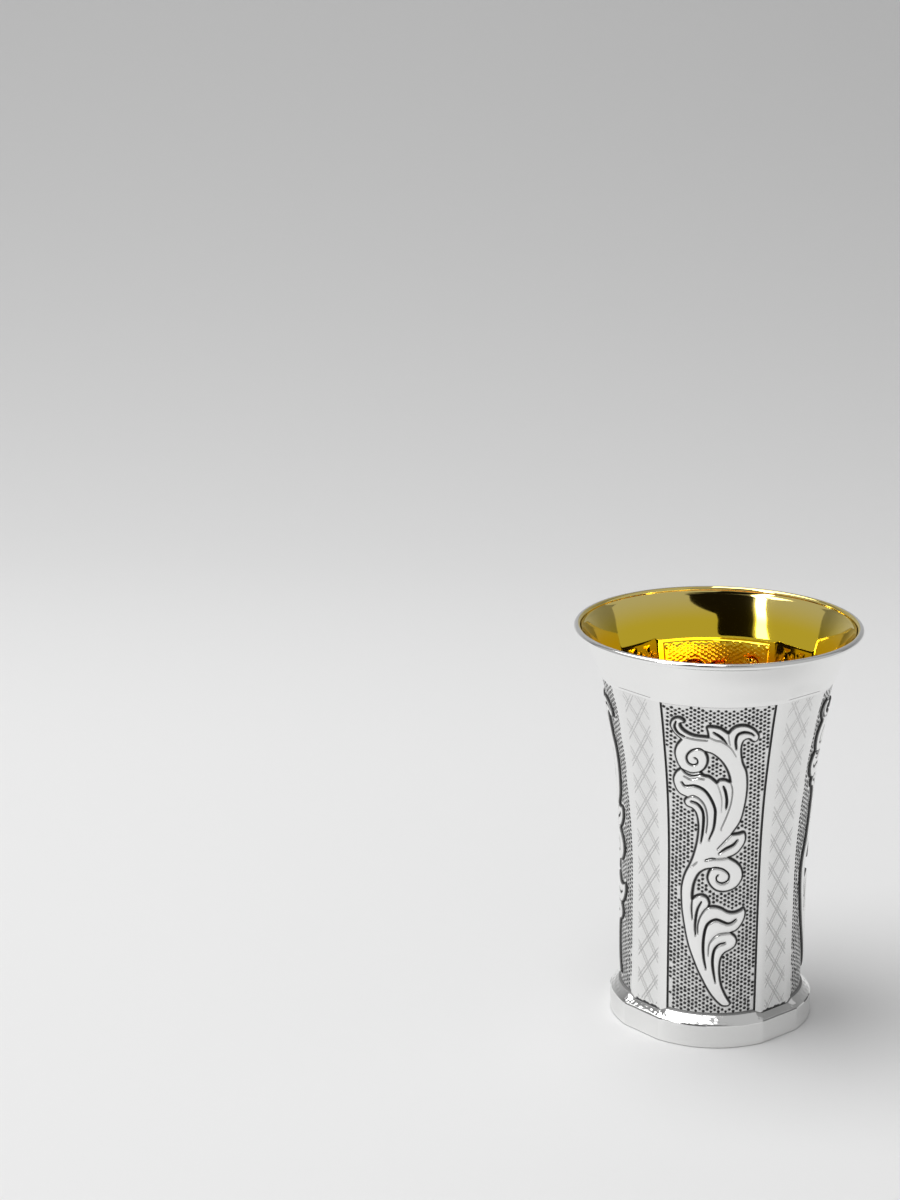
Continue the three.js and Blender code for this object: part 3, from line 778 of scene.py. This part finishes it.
def bright_gilding():
    """Yellow gold, electroplated over the polished silver: a mirror that deepens where it sees itself."""
    material, tree = new_material("gold_plate_bright")
    place = add_node(tree, "ShaderNodeTexCoord")
    swell = add_node(tree, "ShaderNodeTexNoise", {"Vector": place.outputs["Object"], "Scale": 1 / (7 * MM),
                                                  "Detail": 1.0, "Roughness": 0.4})
    bump = add_node(tree, "ShaderNodeBump", {"Height": swell.outputs["Fac"], "Strength": 1.0,
                                             "Distance": 0.02 * MM})
    # The base colour is paler towards the rim, a painted highlight, and deeper and redder low inside, a
    # painted reflection of the gold in itself.
    height = add_node(tree, "ShaderNodeSeparateXYZ", {"Vector": place.outputs["Object"]})
    painted_rim_highlight = add_node(tree, "ShaderNodeMapRange", {"Value": height.outputs["Z"], "From Min": 87 * MM,
                                                "From Max": 94 * MM}, interpolation_type="SMOOTHSTEP")
    painted_deep_reflection = add_node(tree, "ShaderNodeMapRange", {"Value": height.outputs["Z"], "From Min": 83.6 * MM,
                                                 "From Max": 80 * MM})
    gold_with_painted_rim_highlight = add_node(tree, "ShaderNodeMix", {"Factor": painted_rim_highlight.outputs["Result"], "A": linear("F6D63C"),
                                             "B": linear("F3DE8A")}, data_type="RGBA")
    shade = add_node(tree, "ShaderNodeMix", {"Factor": painted_deep_reflection.outputs["Result"], "A": gold_with_painted_rim_highlight.outputs["Result"],
                                             "B": linear("E9AC34")}, data_type="RGBA")
    shader = add_node(tree, "ShaderNodeBsdfPrincipled", {
        "Base Color": shade.outputs["Result"], "Metallic": 1.0, "Roughness": 0.06,
        "Normal": bump.outputs["Normal"]})
    add_node(tree, "ShaderNodeOutputMaterial", {"Surface": shader.outputs["BSDF"]})
    return material


def matt_paper():
    """The pale sweep of paper that the cup stands on, painted darker towards grey as it rises behind: painted
    shade where the light falls off.
    """
    material, tree = new_material("matt_paper_painted_darker_behind")
    place = add_node(tree, "ShaderNodeTexCoord")
    depth = add_node(tree, "ShaderNodeSeparateXYZ", {"Vector": place.outputs["Object"]})
    # Painted shade: the paper darkens with distance behind the cup.
    rise = add_node(tree, "ShaderNodeMapRange", {"Value": depth.outputs["Y"], "From Min": 0.15,
                                                 "From Max": 0.95}, interpolation_type="SMOOTHSTEP")
    shade = add_node(tree, "ShaderNodeMix", {"Factor": rise.outputs["Result"], "A": linear("E9E9E9"),
                                             "B": linear("B0B0B0")}, data_type="RGBA")
    shader = add_node(tree, "ShaderNodeBsdfPrincipled", {"Base Color": shade.outputs["Result"],
                                                         "Roughness": 0.8})
    add_node(tree, "ShaderNodeOutputMaterial", {"Surface": shader.outputs["BSDF"]})
    return material


# ------------------------------------------------------------------ the set

def paper_sweep():
    """Floor and back wall in one curved sheet."""
    half, front, back, bend, top = 2.4, -2.0, 0.9, 0.5, 2.2
    line = [(front, 0.0), (back - bend, 0.0)]
    line += [(back - bend + bend * math.sin(a), bend - bend * math.cos(a))
             for a in np.linspace(0, math.pi / 2, 20)[1:]]
    line += [(back, top)]
    points = np.array([(x, y, z) for y, z in line for x in (-half, half)])
    mesh = bpy.data.meshes.new("paper_sweep")
    faces = [(2 * i, 2 * i + 1, 2 * i + 3, 2 * i + 2) for i in range(len(line) - 1)]
    mesh.from_pydata(points.tolist(), [], faces)
    mesh.polygons.foreach_set("use_smooth", [True] * len(mesh.polygons))
    mesh.materials.append(matt_paper())
    sweep = bpy.data.objects.new("paper_sweep", mesh)
    bpy.context.scene.collection.objects.link(sweep)


def glowing(name, colour, strength):
    material, tree = new_material(name)
    shader = add_node(tree, "ShaderNodeEmission", {"Color": linear(colour), "Strength": strength})
    add_node(tree, "ShaderNodeOutputMaterial", {"Surface": shader.outputs["Emission"]})
    return material


def direction_to(azimuth, elevation):
    """A direction from the cup: degrees to the right of the front, and degrees up."""
    a, e = math.radians(azimuth), math.radians(elevation)
    return Vector((math.sin(a) * math.cos(e), -math.cos(a) * math.cos(e), math.sin(e)))


def reflected_card(name, outline, distance, material):
    """A card that only shows mirrored in the metal. Its corners are given as azimuth and elevation."""
    middle = Vector((0, 0, RIM_TOP * MM))
    corners = [middle + direction_to(*corner) * distance for corner in outline]
    mesh = bpy.data.meshes.new(name)
    mesh.from_pydata([tuple(corner) for corner in corners], [], [tuple(range(len(corners)))])
    mesh.materials.append(material)
    card = bpy.data.objects.new(name, mesh)
    bpy.context.scene.collection.objects.link(card)
    card.visible_camera = card.visible_diffuse = card.visible_shadow = False


def soft_light(name, place, aim, width, height, radiance):
    light = bpy.data.lights.new(name, "AREA")
    light.shape = "RECTANGLE"
    light.size, light.size_y = width, height
    light.energy = radiance * math.pi * width * height
    holder = bpy.data.objects.new(name, light)
    holder.location = place
    holder.rotation_euler = (Vector(aim) - Vector(place)).to_track_quat("-Z", "Y").to_euler()
    bpy.context.scene.collection.objects.link(holder)
    return holder


def light_the_set():
    world = bpy.data.worlds.new("studio")
    bpy.context.scene.world = world
    world.use_nodes = True
    tree = world.node_tree
    tree.nodes.clear()
    background = add_node(tree, "ShaderNodeBackground", {"Color": linear("FFFFFF"), "Strength": 0.46})
    add_node(tree, "ShaderNodeOutputWorld", {"Surface": background.outputs["Background"]})
    middle = (0, 0, RIM_TOP * MM / 2)
    soft_light("overhead_softbox", (-0.45, -0.02, 1.3), middle, 1.1, 1.1, 3.5)
    dark_room = glowing("unlit_room", "16130D", 1.0)
    window = glowing("window_strip", "FFFFFF", 12.0)
    reflected_card("dark_behind_camera", [(36, 56), (39, 52), (33, 49), (30, 45), (16, 41), (2, 36), (-4, 20),
                                          (-37, 20), (-37, 56)], 1.5, dark_room)
    reflected_card("bright_strip", [(-40, 20), (-50, 20), (-50, 60), (-40, 60)], 1.5, window)


def place_camera():
    """A long lens a little above the rim, with the cup to the right of the frame."""
    distance_ahead, aside, above = 594.1, -9.7, 265.3
    heading, pitch, roll = math.radians(-4.985), math.radians(15.585), math.radians(-0.23)
    camera = bpy.data.cameras.new("camera")
    camera.sensor_width = 36
    camera.lens = 80.83
    camera.clip_start, camera.clip_end = 0.05, 20
    holder = bpy.data.objects.new("camera", camera)
    turn = (Matrix.Rotation(-heading, 4, "Z") @ Matrix.Rotation(math.pi / 2 - pitch, 4, "X")
            @ Matrix.Rotation(roll, 4, "Z"))
    holder.matrix_world = Matrix.Translation(Vector((aside, -distance_ahead, above)) * MM) @ turn
    bpy.context.scene.collection.objects.link(holder)
    bpy.context.scene.camera = holder


# ------------------------------------------------------------------ everything together

place_camera()
silver = sterling_silver()
gold = bright_gilding()
silver_pieces = chased_panels(silver) + plain_between_panels(silver)
silver_pieces += [flare_and_bead(silver), foot(silver), foot_hollow(silver)]
inside = gilded_inside(gold)
for piece in silver_pieces:
    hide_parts("cup")
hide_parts("cup")
paper_sweep()
light_the_set()
bpy.context.scene.view_settings.view_transform = "Standard"
